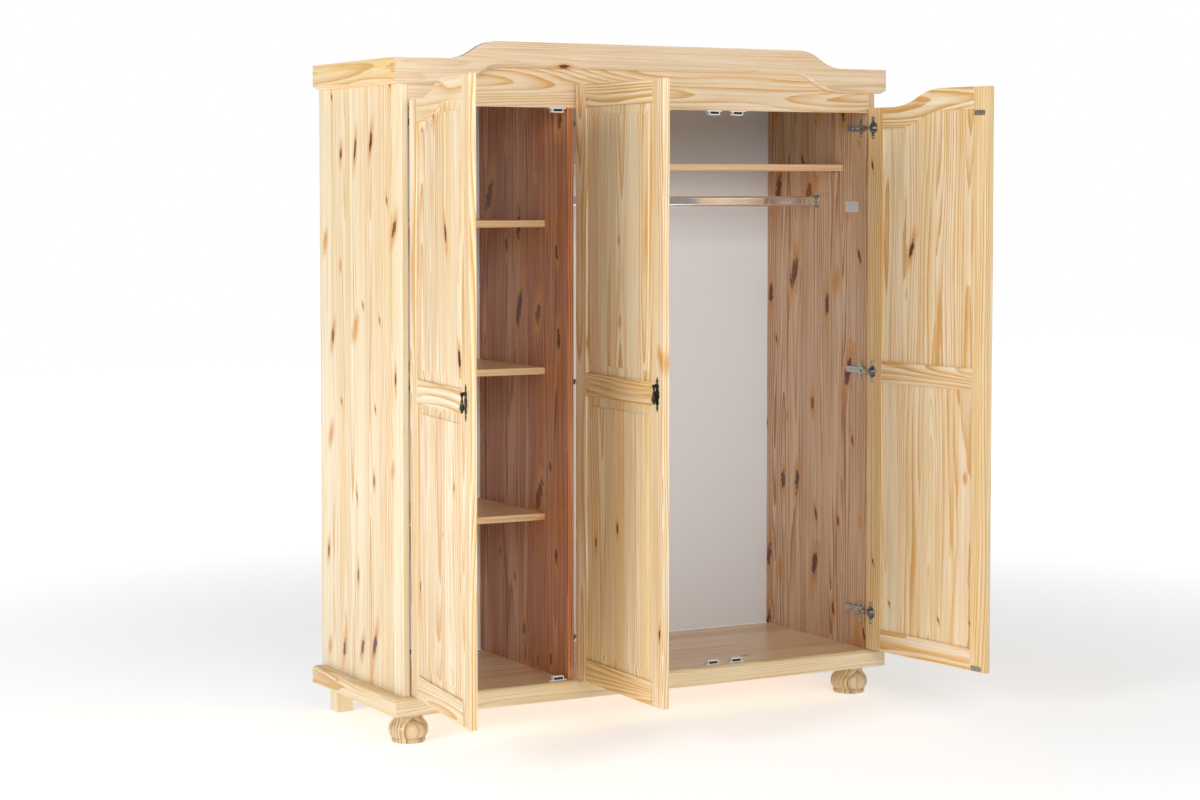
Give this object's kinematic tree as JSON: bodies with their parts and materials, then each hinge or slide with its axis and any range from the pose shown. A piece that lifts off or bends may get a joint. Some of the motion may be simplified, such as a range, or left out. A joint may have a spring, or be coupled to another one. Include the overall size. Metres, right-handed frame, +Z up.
{
  "type": "wardrobe",
  "caption": "Free-standing knotty pine wardrobe with raised-panel doors under an arched crown, shelves on one side and a hanging rail with a hat shelf on the other.",
  "frame": {"origin": "on the floor, below the middle of the carcass", "axes": "+X to the right of a person facing the doors, +Y towards the back, +Z up; the doors are on the -Y side"},
  "size_m": [1.6199, 1.0578, 1.865],
  "materials": {
    "pine_panel": "clear-lacquered edge-glued knotty pine",
    "pine_door_frame": "clear-lacquered knotty pine",
    "pine_door_panel": "clear-lacquered knotty pine",
    "pine_crown": "clear-lacquered pine moulding",
    "pine_feet": "clear-lacquered turned pine",
    "painted_back": "white-painted hardboard",
    "rail_chrome": "polished chrome tube",
    "hinge_steel": "nickel-plated pressed steel",
    "strike_steel": "nickel-plated steel plate",
    "handle_bronze": "dark antique bronze",
    "catch_plastic": "white moulded plastic",
    "magnet_rubber": "black ferrite magnet",
    "peg_plastic": "pale turned peg"
  },
  "bodies": {
    "root": {"back_panel_left": "painted_back", "back_panel_right": "painted_back", "base_back_rail": "pine_crown", "base_front_rail": "pine_crown", "base_side_rails": "pine_crown", "bottom_board": "pine_panel", "catch_housings": "catch_plastic", "catch_magnets": "magnet_rubber", "clothes_rail": "rail_chrome", "clothes_rail_brackets": "rail_chrome", "crown_front_board": "pine_crown", "crown_side_returns": "pine_crown", "divider_panel": "pine_panel", "fascia_rail": "pine_panel", "front_bun_feet": "pine_feet", "hat_shelf": "pine_panel", "hinge_arms": "hinge_steel", "hinge_plates": "hinge_steel", "left_shelves": "pine_panel", "left_side_panel": "pine_panel", "rear_block_feet": "pine_feet", "right_side_panel": "pine_panel", "shelf_pegs": "peg_plastic", "top_board": "pine_panel"},
    "left_door": {"left_door_bottom_rail": "pine_door_frame", "left_door_handle_backplate": "handle_bronze", "left_door_hinge_cups": "hinge_steel", "left_door_hinge_stile": "pine_door_frame", "left_door_lock_stile": "pine_door_frame", "left_door_lower_panel": "pine_door_panel", "left_door_middle_rail": "pine_door_frame", "left_door_strike_plates": "strike_steel", "left_door_top_rail": "pine_door_frame", "left_door_upper_panel": "pine_door_panel"},
    "left_door_links": {"left_door_hinge_links": "hinge_steel"},
    "left_drop": {"left_door_handle_drop": "handle_bronze"},
    "middle_door": {"middle_door_bottom_rail": "pine_door_frame", "middle_door_handle_backplate": "handle_bronze", "middle_door_hinge_cups": "hinge_steel", "middle_door_hinge_stile": "pine_door_frame", "middle_door_lock_stile": "pine_door_frame", "middle_door_lower_panel": "pine_door_panel", "middle_door_middle_rail": "pine_door_frame", "middle_door_strike_plates": "strike_steel", "middle_door_top_rail": "pine_door_frame", "middle_door_upper_panel": "pine_door_panel"},
    "middle_door_links": {"middle_door_hinge_links": "hinge_steel"},
    "middle_drop": {"middle_door_handle_drop": "handle_bronze"},
    "right_door": {"right_door_bottom_rail": "pine_door_frame", "right_door_handle_backplate": "handle_bronze", "right_door_hinge_cups": "hinge_steel", "right_door_hinge_stile": "pine_door_frame", "right_door_lock_stile": "pine_door_frame", "right_door_lower_panel": "pine_door_panel", "right_door_middle_rail": "pine_door_frame", "right_door_strike_plates": "strike_steel", "right_door_top_rail": "pine_door_frame", "right_door_upper_panel": "pine_door_panel"},
    "right_door_links": {"right_door_hinge_links": "hinge_steel"},
    "right_drop": {"right_door_handle_drop": "handle_bronze"}
  },
  "joints": [
    {"name": "left_door_swing", "type": "hinge", "parent": "root", "child": "left_door", "pos_m": [-0.736, -0.2955, 0.947], "axis": [0, 0, -1], "range_deg": [-97.5, 8.5]},
    {"name": "left_hinge_links", "type": "hinge", "parent": "root", "child": "left_door_links", "pos_m": [-0.708, -0.272, 0.947], "axis": [0, 0, -1], "range_deg": [-97.5, 8.5]},
    {"name": "left_drop_swing", "type": "hinge", "parent": "left_door", "child": "left_drop", "pos_m": [-0.80494, -0.74636, 0.969], "axis": [0.1305, 0.9914, 0], "range_deg": [0, 75]},
    {"name": "middle_door_swing", "type": "hinge", "parent": "root", "child": "middle_door", "pos_m": [-0.241, -0.2955, 0.947], "axis": [0, 0, -1], "range_deg": [-91.5, 14.5]},
    {"name": "middle_hinge_links", "type": "hinge", "parent": "root", "child": "middle_door_links", "pos_m": [-0.213, -0.272, 0.947], "axis": [0, 0, -1], "range_deg": [-91.5, 14.5]},
    {"name": "middle_drop_swing", "type": "hinge", "parent": "middle_door", "child": "middle_drop", "pos_m": [-0.26243, -0.75109, 0.969], "axis": [0.0262, 0.9997, 0], "range_deg": [0, 75]},
    {"name": "right_door_swing", "type": "hinge", "parent": "root", "child": "right_door", "pos_m": [0.736, -0.2955, 0.947], "axis": [0, 0, 1], "range_deg": [-97, 9]},
    {"name": "right_hinge_links", "type": "hinge", "parent": "root", "child": "right_door_links", "pos_m": [0.708, -0.272, 0.947], "axis": [0, 0, 1], "range_deg": [-97, 9]},
    {"name": "right_drop_swing", "type": "hinge", "parent": "right_door", "child": "right_drop", "pos_m": [0.801, -0.74694, 0.969], "axis": [0.1219, -0.9925, 0], "range_deg": [0, 75]}
  ],
  "couplings": [
    {"joint": "left_hinge_links", "follows": "left_door_swing", "ratio": 1},
    {"joint": "middle_hinge_links", "follows": "middle_door_swing", "ratio": 1},
    {"joint": "right_hinge_links", "follows": "right_door_swing", "ratio": 1}
  ]
}
